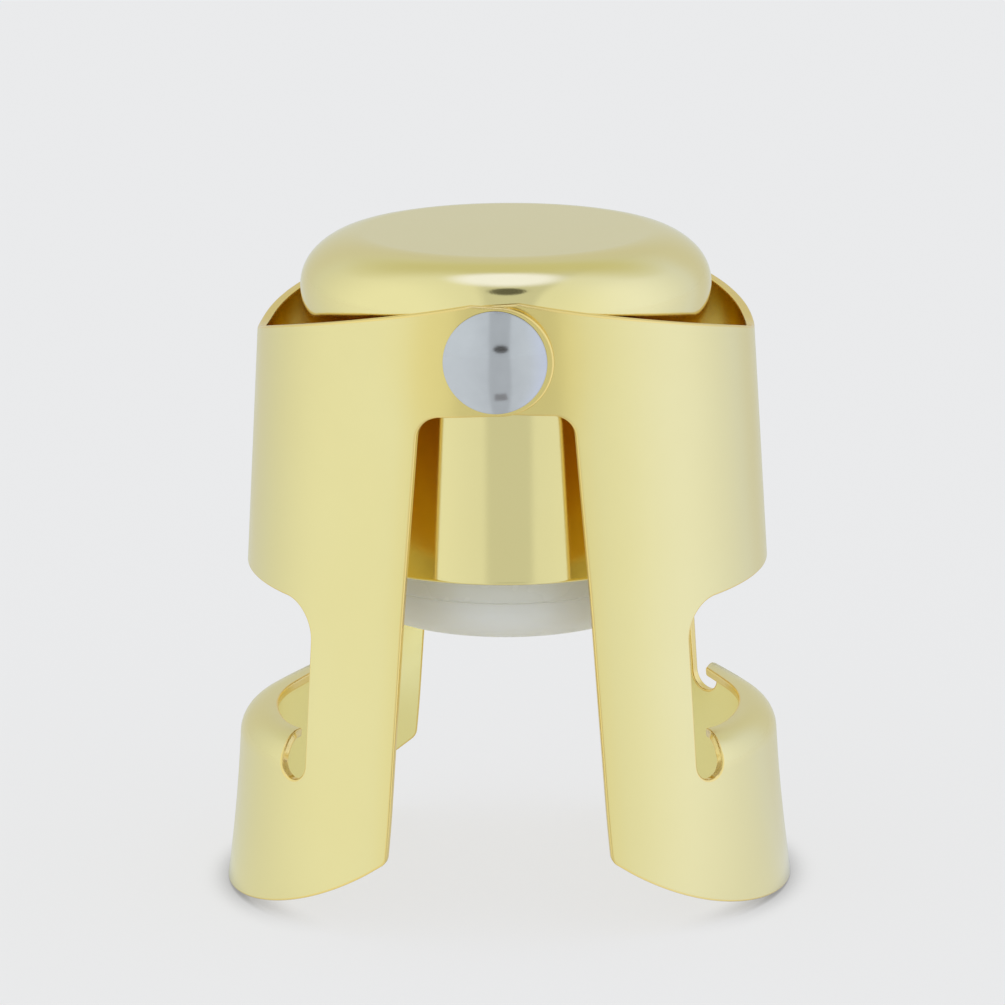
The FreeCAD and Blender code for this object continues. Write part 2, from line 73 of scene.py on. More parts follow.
class Wire:
    """A number socket that takes part in Python arithmetic by adding Math nodes."""

    def __init__(self, recipe: "Recipe", socket: Socket) -> None:
        """Wrap a socket.

        Args:
            recipe: the recipe whose tree the socket is in.
            socket: the output socket with the value.
        """
        self.recipe = recipe
        self.socket = socket

    def _join(self, operation: str, first: object, second: object) -> "Wire":
        """Add one Math node.

        Args:
            operation: the Math node's operation.
            first: its first value or wire.
            second: its second value or wire.

        Returns:
            The wire of its result.
        """
        made = self.recipe.node("ShaderNodeMath", {"operation": operation}, {0: first, 1: second})
        return self.recipe.wire(made, "Value")

    def __add__(self, other: object) -> "Wire":
        """Sum with a value or wire."""
        return self._join("ADD", self, other)

    __radd__ = __add__

    def __sub__(self, other: object) -> "Wire":
        """Difference from a value or wire."""
        return self._join("SUBTRACT", self, other)

    def __rsub__(self, other: object) -> "Wire":
        """A value less this wire."""
        return self._join("SUBTRACT", other, self)

    def __mul__(self, other: object) -> "Wire":
        """Product with a value or wire."""
        return self._join("MULTIPLY", self, other)

    __rmul__ = __mul__

    def size(self) -> "Wire":
        """The wire without its sign."""
        return self._join("ABSOLUTE", self, 0.0)

    def ramp(self, low: float, high: float) -> "Wire":
        """A smooth climb.

        Args:
            low: where it leaves 0.
            high: where it reaches 1.

        Returns:
            The wire from 0 to 1.
        """
        settings = {"interpolation_type": "SMOOTHSTEP"}
        inputs = {"Value": self, "From Min": low, "From Max": high}
        return self.recipe.wire(self.recipe.node("ShaderNodeMapRange", settings, inputs), 0)


class Recipe:
    """One material's node tree and the calls that write it."""

    def __init__(self, holder: Finish | bpy.types.World) -> None:
        """Start with an empty tree.

        Args:
            holder: the material or world that the tree belongs to.
        """
        self.material = holder
        holder.use_nodes = True
        self.tree = holder.node_tree
        self.tree.nodes.clear()

    @classmethod
    def named(cls, name: str) -> "Recipe":
        """A recipe for a new material of that name."""
        return cls(bpy.data.materials.new(name))

    def node(self, kind: str, settings: dict | None = None, inputs: dict | None = None) -> Node:
        """Add one node.

        Args:
            kind: the node's type name.
            settings: attributes that are set first.
            inputs: a value, wire or socket for each input, by name or number.

        Returns:
            The new node.
        """
        made = self.tree.nodes.new(kind)
        for name, value in (settings or {}).items():
            setattr(made, name, value)
        for name, value in (inputs or {}).items():
            self.feed(made.inputs[name], value)
        return made

    def feed(self, socket: Socket, value: object) -> None:
        """Link or set one input.

        Args:
            socket: the input.
            value: a wire, an output socket, a number or a colour.
        """
        if isinstance(value, Wire):
            self.tree.links.new(value.socket, socket)
        elif isinstance(value, Socket):
            self.tree.links.new(value, socket)
        elif isinstance(value, tuple) and len(value) == 3 and socket.type == "RGBA":
            socket.default_value = (*value, 1.0)
        else:
            socket.default_value = value

    def wire(self, made: Node, output: str | int = 0) -> Wire:
        """The wire of a node's output."""
        return Wire(self, made.outputs[output])

    def coordinates(self, kind: str) -> Socket:
        """The coordinates of that kind."""
        return self.node("ShaderNodeTexCoord").outputs[kind]

    def parts(self, vector: object) -> list:
        """The wires of a vector's three parts."""
        made = self.node("ShaderNodeSeparateXYZ", {}, {0: vector})
        return [self.wire(made, k) for k in range(3)]

    def vector(self, operation: str, inputs: dict) -> Node:
        """Add one Vector Math node."""
        return self.node("ShaderNodeVectorMath", {"operation": operation}, inputs)

    def mix_colour(self, factor: object, first: object, second: object) -> Socket:
        """Blend two colours.

        Args:
            factor: how much of the second.
            first: the first colour or socket.
            second: the second colour or socket.

        Returns:
            The blended colour's socket.
        """
        made = self.node("ShaderNodeMix", {"data_type": "RGBA"})
        self.feed(made.inputs[0], factor)
        self.feed(made.inputs[6], first)
        self.feed(made.inputs[7], second)
        return made.outputs[2]

    def noise(self, scale: float, detail: float = 2.0, stretch: tuple = (1.0, 1.0, 1.0)) -> Wire:
        """Noise laid on the object's own coordinates.

        Args:
            scale: cells to the metre.
            detail: octaves.
            stretch: the coordinates' scale along each axis.

        Returns:
            The noise's value, about 0.5 at its middle.
        """
        inputs = {"Vector": self.coordinates("Object"), "Scale": stretch}
        turned = self.node("ShaderNodeMapping", {}, inputs)
        inputs = {"Vector": turned.outputs[0], "Scale": scale, "Detail": detail}
        made = self.node("ShaderNodeTexNoise", {}, inputs)
        return self.wire(made, 0)

    def bump(self, height: Wire, distance: float, strength: float = 1.0) -> Socket:
        """Turn a height into a normal.

        Args:
            height: the height's wire, about 0 to 1.
            distance: the height of 1, in metres.
            strength: how much of it shows.

        Returns:
            The normal's socket.
        """
        made = self.node("ShaderNodeBump", {}, {"Height": height, "Distance": distance, "Strength": strength})
        return made.outputs[0]

    def surface(self, inputs: dict) -> Finish:
        """Close the tree with a Principled surface.

        Args:
            inputs: the surface's inputs by name.

        Returns:
            The finished material.
        """
        made = self.node("ShaderNodeBsdfPrincipled", {}, inputs)
        self.node("ShaderNodeOutputMaterial", {}, {"Surface": made.outputs[0]})
        return self.material


@dataclass(frozen=True)
class GoldPlate:
    """Pale gold plating on a pressed or cast part."""

    name: str
    colour: tuple = (0.86, 0.735, 0.345)
    warm: tuple = (0.85, 0.71, 0.31)
    roughness: float = 0.16
    wave: float = 0.00002
    grain: float = 0.0000015
    # Painted light and shade for the inner skin, and the zones where each lies.
    paints_inner_light_and_shade: bool = False
    lit_zone: tuple = (0.022, 0.032)
    painted_shade_zone: tuple = (0.047, 0.0525)
    end_zone: tuple = (0.0150, 0.0185)
    # Strength, zones and colour of the painted amber reflection and shade around the pivot and the legs'
    # inner edges.
    painted_reflection_strength: float = 0.0
    pivot_zone: tuple = (0.0045, 0.0110)
    portal_top: float = 0.047
    leg_slant: float = 0.075
    leg_zone: tuple = (0.0058, 0.0090)
    painted_reflection_amber: tuple = (0.86, 0.67, 0.22)
    painted_shade: tuple = (0.37, 0.21, 0.03)
    lit: tuple = (0.98, 0.86, 0.38)
    grazing: tuple = (1.0, 1.0, 1.0)

    def make(self) -> Finish:
        """Write the material: drift, haze, wave, grain, the inner skin's painted light and shade, and the
        painted amber reflection around the pivot and the legs' inner edges.
        """
        recipe = Recipe.named(self.name)
        drift = recipe.noise(60.0, 2.0)
        haze = recipe.noise(420.0, 3.0)
        wave = recipe.noise(110.0, 1.0)
        grain = recipe.noise(5200.0, 2.0)
        normal = recipe.bump(wave, self.wave)
        colour = recipe.mix_colour(drift, self.colour, self.warm)
        place = recipe.coordinates("Object")
        x, y, z = recipe.parts(place)
        # Painted light and shade on the inner skin: lighter low down, and a painted dark amber shade towards
        # the top, away from the front and back.
        if self.paints_inner_light_and_shade:
            low = 1.0 - z.ramp(*self.lit_zone)
            colour = recipe.mix_colour(low, colour, self.lit)
            high = z.ramp(*self.painted_shade_zone)
            end = 1.0 - y.size().ramp(*self.end_zone)
            colour = recipe.mix_colour(high * end, colour, self.painted_shade)
        # Painted amber reflection and shade on the outer skin, around the pivot and along the legs' inner
        # edges.
        if self.painted_reflection_strength > 0.0:
            flat = recipe.vector("MULTIPLY", {0: place, 1: (1.0, 0.0, 1.0)})
            pivot = (0.0, 0.0, (PIVOT_HEIGHT + EAR_RISE) * MM)
            gap = recipe.vector("DISTANCE", {0: flat.outputs[0], 1: pivot})
            close = 1.0 - recipe.wire(gap, "Value").ramp(*self.pivot_zone)
            colour = recipe.mix_colour(close * self.painted_reflection_strength, colour, self.painted_reflection_amber)
            across = x.size() + (z - self.portal_top) * self.leg_slant
            edge = 1.0 - across.ramp(*self.leg_zone)
            colour = recipe.mix_colour(edge * self.painted_reflection_strength, colour, self.painted_reflection_amber)
        fine = recipe.node("ShaderNodeBump", {}, {"Height": grain, "Distance": self.grain, "Normal": normal})
        return recipe.surface({
            "Base Color": colour,
            "Metallic": 1.0,
            "Specular Tint": (*self.grazing, 1.0),
            "Roughness": haze * 0.12 + (self.roughness - 0.06),
            "Normal": fine.outputs[0],
        })


@dataclass(frozen=True)
class BrightNickel:
    """The rivets' nickel plating, with faint turning marks."""

    name: str = "rivet_nickel"
    colour: tuple = (0.585, 0.575, 0.565)
    roughness: float = 0.12

    def make(self) -> Finish:
        """Write the material."""
        recipe = Recipe.named(self.name)
        cloud = recipe.noise(700.0, 3.0)
        scratch = recipe.noise(1500.0, 2.0, (1.0, 1.0, 6.0))
        return recipe.surface({
            "Base Color": recipe.mix_colour(cloud, self.colour, tuple(c * 0.9 for c in self.colour)),
            "Metallic": 1.0,
            "Roughness": cloud * 0.1 + (self.roughness - 0.05),
            "Normal": recipe.bump(scratch, 0.000002),
        })


@dataclass(frozen=True)
class MilkyPlastic:
    """The translucent holder and the silicone seal, each with a faint painted glow."""

    name: str
    colour: tuple
    roughness: float
    milk: float = 0.4
    glow: float = 0.16
    haze: tuple = (0.9, 0.9, 0.88)

    def make(self) -> Finish:
        """Write the material."""
        recipe = Recipe.named(self.name)
        cloud = recipe.noise(180.0, 3.0)
        grain = recipe.noise(3000.0, 2.0)
        tint = tuple(a * b for a, b in zip(self.colour, self.haze))
        return recipe.surface({
            "Base Color": recipe.mix_colour(cloud, self.colour, tint),
            "Roughness": cloud * 0.12 + (self.roughness - 0.06),
            "IOR": 1.43,
            # Painted light: a faint emission stands in for light passing through the plastic; the part is no
            # lamp.
            "Emission Color": (*self.colour, 1.0),
            "Emission Strength": self.glow,
            "Subsurface Weight": self.milk,
            "Subsurface Radius": (0.012, 0.012, 0.010),
            "Subsurface Scale": 1.0,
            "Normal": recipe.bump(grain, 0.000003),
        })


@dataclass(frozen=True)
class DrawnWire:
    """Spring steel with its drawing lines."""

    name: str = "spring_wire"
    colour: tuple = (0.42, 0.42, 0.43)

    def make(self) -> Finish:
        """Write the material."""
        recipe = Recipe.named(self.name)
        lines = recipe.noise(2500.0, 2.0, (1.0, 1.0, 0.2))
        return recipe.surface({
            "Base Color": recipe.mix_colour(lines, self.colour, tuple(c * 0.8 for c in self.colour)),
            "Metallic": 1.0,
            "Roughness": lines * 0.2 + 0.22,
            "Normal": recipe.bump(lines, 0.000003),
        })


# Turned pieces

class Outline:
    """Half the section of a turned piece: points with the normal of each stretch's two ends."""

    def __init__(self, radius: float, height: float) -> None:
        """Start the outline.

        Args:
            radius: the first point's distance from the axis, in mm.
            height: its height, in mm.
        """
        self.points = [(radius, height)]
        self.normals: list[tuple] = []

    def line(self, radius: float, height: float) -> "Outline":
        """Go straight to a point, with the surface on the left of the way.

        Args:
            radius: the point's distance from the axis, in mm.
            height: its height, in mm.

        Returns:
            The outline itself.
        """
        r, z = self.points[-1]
        dr, dz = radius - r, height - z
        length = math.hypot(dr, dz)
        normal = (-dz / length, dr / length)
        self.points.append((radius, height))
        self.normals.append((normal, normal))
        return self

    def arc(self, radius: float, height: float, bend: float, turn: int, steps: int = 0) -> "Outline":
        """Go round an arc to a point.

        Args:
            radius: the end's distance from the axis, in mm.
            height: its height, in mm.
            bend: the arc's own radius.
            turn: 1 for counter-clockwise and -1 for clockwise.
            steps: the number of pieces, or 0 for one about every 5 degrees.

        Returns:
            The outline itself.
        """
        r, z = self.points[-1]
        chord = math.hypot(radius - r, height - z)
        rise = math.sqrt(max(bend * bend - chord * chord / 4, 0.0)) * turn
        cr = (r + radius) / 2 - (height - z) / chord * rise
        cz = (z + height) / 2 + (radius - r) / chord * rise
        low = math.atan2(z - cz, r - cr)
        high = math.atan2(height - cz, radius - cr)
        if turn > 0 and high < low:
            high += 2 * math.pi
        if turn < 0 and high > low:
            high -= 2 * math.pi
        count = steps or max(3, int(abs(high - low) / math.radians(5)))
        angles = [low + (high - low) * i / count for i in range(count + 1)]
        for a, b in zip(angles, angles[1:]):
            self.points.append((cr + bend * math.cos(b), cz + bend * math.sin(b)))
            self.normals.append(tuple((-turn * math.cos(q), -turn * math.sin(q)) for q in (a, b)))
        self.points[-1] = (radius, height)
        return self


def turned_mesh(name: str, outline: Outline, place: Matrix, count: int = 160) -> Piece:
    """Turn an outline about its axis, with the exact normal at every corner.

    Args:
        name: the object's name.
        outline: the outline, with the surface on the left of its way.
        place: from the outline's frame, axis along Z, to the row frame, in mm.
        count: the number of steps round.

    Returns:
        The new object.
    """
    rings = []
    vertices: list[tuple] = []
    for radius, height in outline.points:
        if radius < 1e-6:
            rings.append([len(vertices)] * count)
            vertices.append((0.0, 0.0, height))
        else:
            rings.append(list(range(len(vertices), len(vertices) + count)))
            for i in range(count):
                turn = 2 * math.pi * i / count
                vertices.append((radius * math.cos(turn), radius * math.sin(turn), height))
    faces = []
    corners = []
    for ring, (low, high) in zip(range(len(rings) - 1), outline.normals):
        for i in range(count):
            j = (i + 1) % count
            quad = [(rings[ring][i], i, low), (rings[ring + 1][i], i, high),
                    (rings[ring + 1][j], j, high), (rings[ring][j], j, low)]
            kept = [q for k, q in enumerate(quad) if q[0] != quad[k - 1][0]]
            if len(kept) < 3:
                continue
            faces.append([q[0] for q in kept])
            middle = 2 * math.pi * (i + 0.5) / count
            for vertex, step, normal in kept:
                on_axis = outline.points[ring + (normal is high and vertex in rings[ring + 1][:1])][0] < 1e-6
                turn = middle if on_axis else 2 * math.pi * step / count
                corners.append((normal[0] * math.cos(turn), normal[0] * math.sin(turn), normal[1]))
    return shaped(name, vertices, faces, place, corners=corners)


def shaped(name: str, vertices: list, faces: list, place: Matrix, corners: list | None = None,
           normals: np.ndarray | None = None) -> Piece:
    """Make a mesh object with given normals.

    Args:
        name: the object's name.
        vertices: points in mm, in the piece's own frame.
        faces: vertex numbers of each face.
        place: from that frame to the row frame, in mm.
        corners: a normal for every face corner.
        normals: or a normal for every vertex.

    Returns:
        The new object, linked to the scene.
    """
    mesh = bpy.data.meshes.new(name)
    mesh.from_pydata([tuple((place @ Vector(v)) * MM) for v in vertices], [], faces)
    turn = place.to_3x3()
    mesh.polygons.foreach_set("use_smooth", [True] * len(mesh.polygons))
    if corners is not None:
        mesh.normals_split_custom_set([tuple((turn @ Vector(n)).normalized()) for n in corners])
    if normals is not None:
        mesh.normals_split_custom_set_from_vertices([tuple((turn @ Vector(n)).normalized()) for n in normals])
    mesh.update()
    made = bpy.data.objects.new(name, mesh)
    bpy.context.scene.collection.objects.link(made)
    return made


def dress(piece: Piece, material: Finish, body: str, slot: str, *nodes: str) -> None:
    """Give a piece its finish and set it in the frame.

    Args:
        piece: the object.
        material: its finish.
        body: the body it rides on.
        slot: the record's material slot; not used.
        nodes: the CAD nodes it stands for.
    """
    piece.data.materials.clear()
    piece.data.materials.append(material)
    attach(piece, body)
    if nodes:
        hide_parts(*nodes)
    LOG.info("%s: %d faces on body %s", piece.name, len(piece.data.polygons), body)


def lifted(height: float = PIVOT_HEIGHT) -> Matrix:
    """The frame with its origin on the pivot line, in mm."""
    return Matrix.Translation((0.0, 0.0, height))


@dataclass
class CastBody:
    """The head and cylinder, one polished and plated casting."""

    head_radius: float = 18.45
    head_widest: float = 3.4
    shoulder_radius: float = 6.28
    side_radius: float = 4.17
    underside_radius: float = 9.2
    body_radius: float = 17.3
    body_depth: float = 20.2
    wall: float = 2.1
    rim_round: float = 0.4
    ceiling: float = 4.5
    lip_width: float = 0.6
    lip_height: float = 1.2
    spigot_radius: float = 7.8
    spigot_height: float = 1.6
    boss_radius: float = 4.4
    boss_reach: float = 18.5
    boss_bevel: float = 0.05

    def outline(self) -> Outline:
        """Draw the casting's section, from the crown outside, round the rim and up the bore.

        Returns:
            The outline.
        """
        half = math.sqrt(0.5)
        flat = self.head_radius - self.shoulder_radius * half - self.side_radius * (1 - half)
        knee = self.head_radius - self.side_radius * (1 - half)
        knee_z = self.head_widest + self.side_radius * half
        top = knee_z + self.shoulder_radius * (1 - half)
        tuck = self.underside_radius - self.head_radius + self.body_radius
        tuck_z = self.head_widest - math.sqrt(self.underside_radius ** 2 - tuck ** 2)
        bore = self.body_radius - self.wall
        lip = bore - self.lip_width
        low = -self.body_depth
        rim = self.rim_round
        drawn = Outline(0.0, self.ceiling - self.spigot_height)
        drawn.line(self.spigot_radius, self.ceiling - self.spigot_height)
        drawn.line(self.spigot_radius, self.ceiling).line(bore, self.ceiling)
        drawn.line(bore, low + self.lip_height).line(lip, low + self.lip_height)
        drawn.line(lip, low + 0.15).arc(lip + 0.15, low, 0.15, 1)
        drawn.line(self.body_radius - rim, low).arc(self.body_radius, low + rim, rim, 1)
        drawn.line(self.body_radius, tuck_z - 0.12)
        drawn.line(self.body_radius, tuck_z)
        drawn.arc(self.head_radius, self.head_widest, self.underside_radius, 1)
        drawn.arc(knee, knee_z, self.side_radius, 1).arc(flat, top, self.shoulder_radius, 1)
        for share in (0.9, 0.6, 0.3):
            drawn.line(flat * share, top)
        return drawn.line(0.0, top)

    def build(self, gold: Finish) -> Piece:
        """Make the casting with its two pivot bosses.

        Args:
            gold: the finish.

        Returns:
            The body's object.
        """
        drawn = self.outline()
        drawn.points.reverse()
        drawn.normals = [tuple((-n[0], -n[1]) for n in pair[::-1]) for pair in drawn.normals[::-1]]
        piece = turned_mesh("cast_body", drawn, lifted(), 192)
        dress(piece, gold, "body", "gold_casting", "body")
        for end in End:
            boss = Outline(0.0, self.boss_reach).line(self.boss_radius - self.boss_bevel, self.boss_reach)
            boss.line(self.boss_radius, self.boss_reach - self.boss_bevel)
            boss.line(self.boss_radius, self.body_radius - 1.5)
            made = turned_mesh("pivot_boss_" + end.name.lower(), boss, rivet_frame(end), 64)
            dress(made, gold, "body", "gold_casting")
        return piece


def rivet_frame(end: End) -> Matrix:
    """From a frame with Z along the pivot, pointing out at one end, to the row frame."""
    turn = math.radians(-90.0 * end.value)
    return lifted(PIVOT_HEIGHT + EAR_RISE) @ Matrix.Rotation(turn, 4, "X")


@dataclass
class Rivet:
    """A broad-headed pivot rivet."""

    end: End
    head_radius: float = 4.48
    seat: float = 20.35
    thickness: float = 1.48
    crown: float = 1.36
    bevel: float = 0.07
    shank_radius: float = 2.0
    tail_radius: float = 2.8
    tail_length: float = 0.9
    tail_reach: float = 14.89

    def build(self, nickel: Finish) -> Piece:
        """Turn the rivet.

        Args:
            nickel: the finish.

        Returns:
            The rivet's object.
        """
        face = self.seat + self.thickness
        edge = self.head_radius - self.bevel
        dome = (edge ** 2 + self.crown ** 2) / (2 * self.crown)
        drawn = Outline(0.0, face).arc(edge, face - self.crown, dome, -1, 16)
        drawn.arc(self.head_radius, face - self.crown - self.bevel, self.bevel, -1, 4)
        drawn.line(self.head_radius, self.seat).line(self.shank_radius, self.seat)
        drawn.line(self.shank_radius, self.tail_reach).line(self.tail_radius, self.tail_reach)
        drawn.line(self.tail_radius, self.tail_reach - self.tail_length)
        drawn.line(0.0, self.tail_reach - self.tail_length)
        name = self.end.name.lower() + "_rivet"
        piece = turned_mesh(name + "_turned", drawn, rivet_frame(self.end), 128)
        dress(piece, nickel, "body", "rivet_steel", name)
        return piece


@dataclass
class SealSet:
    """The plunger with its seal, and the spring above them."""

    radius: float = 14.35
    rim_radius: float = 14.95
    rim_base: float = -18.95
    rim_top: float = -17.55
    seam: float = -22.6
    floor: float = -21.0
    wall: float = 1.3
    seal_height: float = 3.8
    seal_round: float = 3.0
    neck: float = 4.0
    neck_height: float = 1.0
    knob: float = 5.5
    knob_height: float = 2.2
    gap: float = 0.03

    def build(self, plastic: Finish, silicone: Finish,
              steel: Finish) -> None:
        """Make the holder and the seal, and finish the spring's own solid.

        Args:
            plastic: the holder's finish.
            silicone: the seal's finish.
            steel: the spring's finish.
        """
        inside = self.radius - self.wall
        cup = Outline(0.0, self.floor).line(inside, self.floor).line(inside, self.rim_top)
        cup.line(self.rim_radius - 0.2, self.rim_top).arc(self.rim_radius, self.rim_top - 0.2, 0.2, -1)
        cup.line(self.rim_radius, self.rim_base).line(self.radius, self.rim_base)
        cup.line(self.radius, self.seam + 0.12).arc(self.radius - 0.12, self.seam, 0.12, -1)
        neck_z, knob_z = self.seam - self.neck_height, self.seam - self.knob_height
        cup.line(self.neck, self.seam).line(self.neck, neck_z).line(self.knob, neck_z)
        cup.line(self.knob, knob_z).line(0.0, knob_z)
        holder = turned_mesh("plunger_cup", cup, lifted(), 160)
        dress(holder, plastic, "plunger", "holder_plastic", "plunger")
        top = self.seam - self.gap
        bottom = self.seam - self.seal_height
        neck, knob = self.neck + self.gap, self.knob + self.gap
        plug = Outline(0.0, knob_z - self.gap).line(knob, knob_z - self.gap).line(knob, neck_z + self.gap)
        plug.line(neck, neck_z + self.gap).line(neck, top).line(self.radius - 0.12, top)
        plug.arc(self.radius, top - 0.12, 0.12, -1).line(self.radius, bottom + self.seal_round)
        plug.arc(self.radius - self.seal_round, bottom, self.seal_round, -1).line(0.0, bottom)
        seal = turned_mesh("seal_plug", plug, lifted(), 160)
        dress(seal, silicone, "plunger", "seal_silicone", "seal")
        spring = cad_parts["spring"]
        spring.data.materials.clear()
        spring.data.materials.append(steel)
        LOG.info("spring: its own solid, finished in steel")


# The pressed arms

def thin_loop(points: list, gap: float) -> np.ndarray:
    """Even out a closed loop so that neighbours are at most a gap apart.

    Args:
        points: the loop's corners.
        gap: the longest step.

    Returns:
        The points, one row each.
    """
    made = []
    for a, b in zip(points, points[1:] + points[:1]):
        a, b = np.array(a, float), np.array(b, float)
        length = np.linalg.norm(b - a)
        if length < 1e-6:
            continue
        steps = max(1, int(math.ceil(length / gap)))
        made += [a + (b - a) * i / steps for i in range(steps)]
    return np.array(made)


def rounded(points: list) -> list:
    """Round the corners of a closed loop.

    Args:
        points: (across, up, radius) of each corner.

    Returns:
        The loop with each corner of a radius turned into a short arc.
    """
    made = []
    count = len(points)
    for i, (x, y, radius) in enumerate(points):
        here = np.array((x, y), float)
        if radius <= 0:
            made.append(tuple(here))
            continue
        back = np.array(points[i - 1][:2], float) - here
        ahead = np.array(points[(i + 1) % count][:2], float) - here
        back /= np.linalg.norm(back)
        ahead /= np.linalg.norm(ahead)
        half = math.acos(max(-1.0, min(1.0, float(back @ ahead)))) / 2
        reach = radius / math.tan(half)
        middle = back + ahead
        centre = here + middle / np.linalg.norm(middle) * radius / math.sin(half)
        first = here + back * reach - centre
        last = here + ahead * reach - centre
        sweep = math.pi - 2 * half
        sense = 1.0 if first[0] * last[1] - first[1] * last[0] > 0 else -1.0
        steps = max(3, int(sweep / math.radians(5)))
        for k in range(steps + 1):
            q = sense * sweep * k / steps
            spun = np.array((first[0] * math.cos(q) - first[1] * math.sin(q),
                             first[0] * math.sin(q) + first[1] * math.cos(q)))
            made.append(tuple(centre + spun))
    return made


def inside(points: np.ndarray, loops: list) -> np.ndarray:
    """Which points are inside the loops, by the even-odd rule.

    Args:
        points: the points to test.
        loops: the outer loop and its holes.

    Returns:
        A flag for each point.
    """
    flag = np.zeros(len(points), bool)
    for loop in loops:
        following = np.roll(loop, -1, axis=0)
        for (ax, ay), (bx, by) in zip(loop, following):
            if ay == by:
                continue
            spans = (points[:, 1] > min(ay, by)) & (points[:, 1] <= max(ay, by))
            cross = ax + (points[:, 1] - ay) * (bx - ax) / (by - ay)
            flag ^= spans & (points[:, 0] < cross)
    return flag


def outward(loop: np.ndarray) -> np.ndarray:
    """The outward direction along a loop.

    Args:
        loop: the loop, with the material on its left.

    Returns:
        A direction for each of its points.
    """
    along = np.roll(loop, -1, axis=0) - np.roll(loop, 1, axis=0)
    along /= np.linalg.norm(along, axis=1)[:, None]
    return np.stack([along[:, 1], -along[:, 0]], axis=1)


def nearest(points: np.ndarray, loops: list) -> np.ndarray:
    """How far points are from the loops.

    Args:
        points: the points.
        loops: the loops.

    Returns:
        Each point's distance to the loops' nearest point.
    """
    best = np.full(len(points), 1e9)
    for loop in loops:
        for x, y in loop:
            best = np.minimum(best, np.hypot(points[:, 0] - x, points[:, 1] - y))
    return best


@dataclass
class SheetArm:
    """One pressed arm, laid out flat as (way round the bend, height) and bent to its form."""

    side: Side
    sheet: float = 0.85
    middle_radius: float = 19.425
    pivot_x: float = -2.37
    shift: float = 0.45
    tilt: float = 3.54
    ear_radius: float = 4.75
    ear_reach: float = 0.3
    bridge: float = 4.8
    rim_dip: float = 2.08
    rim_round: float = 12.0
    leg_inset: float = 6.35
    leg_spread: float = 0.7
    portal_round: float = 2.0
    foot_corner: float = 45.55
    foot_end: float = 54.3
    foot_arc: float = 41.0
    foot_round: float = 1.2
    flare_start: float = 40.0
    flare_radius: float = 155.0
    window_top: float = 23.4
    window_half: float = 50.2
    window_round: float = 3.4
    claw_top: float = 36.95
    claw_bend: float = 2.65
    claw_edge: float = 16.5
    horn_angle: float = 35.2
    tip_round: float = 0.4
    curl_start: float = 20.0
    curl_span: float = 16.0
    curl_height: float = 0.42
    slot_round: float = 1.65
    slot_depth: float = 39.95
    hole_radius: float = 2.05
    edge_round: float = 0.21
    grid: float = 0.75

    @property
    def quarter(self) -> float:
        """Way round from the web's middle to where the flange goes straight."""
        return self.middle_radius * math.pi / 2

    @property
    def claw_root(self) -> float:
        """Height at which the claw starts to fold in."""
        return -self.claw_top - self.claw_bend

    def way(self, x: float) -> float:
        """Way round to a place across the side view."""
        if x <= 0:
            return self.quarter - x
        return self.middle_radius * math.acos(min(1.0, x / self.middle_radius))

    def flare(self, z: np.ndarray) -> np.ndarray:
        """How far the skirt has moved out at a height."""
        drop = np.maximum(0.0, -z - self.flare_start)
        return self.flare_radius - np.sqrt(self.flare_radius ** 2 - drop ** 2)

    def edge_half(self) -> list:
        """The blank's outline on the back half, from the foot's middle up to the rim's middle.

        Returns:
            (way, height, corner radius) of each point.
        """
        leg_top = self.pivot_x + self.leg_inset
        leg_foot = leg_top + self.leg_spread
        far_x, far_z = self.middle_radius + 0.425 + self.sheet * 3, -self.foot_end
        near_x, near_z = leg_foot, -self.foot_corner
        chord = math.hypot(far_x - near_x, far_z - near_z)
        rise = math.sqrt(self.foot_arc ** 2 - chord ** 2 / 4)
        cx = (near_x + far_x) / 2 - (far_z - near_z) / chord * rise
        cz = (near_z + far_z) / 2 + (far_x - near_x) / chord * rise
        lean = math.radians(self.tilt)
        made = []
        last = self.way(near_x - float(self.flare(np.array(near_z))))
        for i in range(61):
            s = last * i / 60
            z = near_z
            for _ in range(6):
                x = self.middle_radius * math.cos(s / self.middle_radius) + float(self.flare(np.array(z)))
                level = (-PIVOT_HEIGHT - (x - self.pivot_x) * math.sin(lean)) / math.cos(lean)
                z = max(cz - math.sqrt(self.foot_arc ** 2 - (x - cx) ** 2), level)
            if last - s > self.foot_round + 0.5 or i == 60:
                made.append((s, z, 0.0 if i < 60 else self.foot_round))
        made.append((self.way(leg_foot - 0.35), -self.foot_corner / 2, 0.0))
        for i in range(13):
            turn = math.pi / 2 * i / 12
            x = leg_top - self.portal_round * (1 - math.cos(turn))
            made.append((self.way(x), -self.bridge - self.portal_round * (1 - math.sin(turn)), 0.0))
        ear = self.way(self.pivot_x - self.ear_reach)
        for i in range(41):
            turn = math.pi * (i / 40 - 0.5)
            up = EAR_RISE + self.ear_radius * math.sin(turn)
            made.append((ear + self.ear_radius * math.cos(turn), up, 0.0))
        made.append((self.quarter, EAR_RISE + self.ear_radius, 0.0))
        made.append((0.0, -self.rim_dip, self.rim_round))
        return made

    def window_half_loop(self) -> list:
        """The window's outline on the back half, from its top's middle to the claw edge's middle.

        Returns:
            (way, height, corner radius) of each point, with the material on the right.
        """
        side = self.middle_radius * math.radians(self.window_half)
        centre = side - self.slot_round
        low = self.slot_round - self.slot_depth
        bend = self.claw_bend - self.sheet / 2
        knee = self.middle_radius - bend
        tab_end = self.claw_root + bend * math.pi / 2 + (knee - self.claw_edge)
        made = [(0.0, -self.window_top, 0.0), (side, -self.window_top, self.window_round), (side, low, 0.0)]
        for i in range(1, 19):
            turn = -math.pi * i / 18
            made.append((centre + self.slot_round * math.cos(turn),
                         low + self.slot_round * math.sin(turn), 0.0))
        root = centre - self.slot_round
        tip = self.middle_radius * math.radians(self.horn_angle)
        made.append(((root * 0.62 + tip * 0.38), (low * 0.45 + tab_end * 0.55), 0.0))
        made.append((tip, tab_end, self.tip_round))
        made.append((0.0, tab_end, 0.0))
        return made

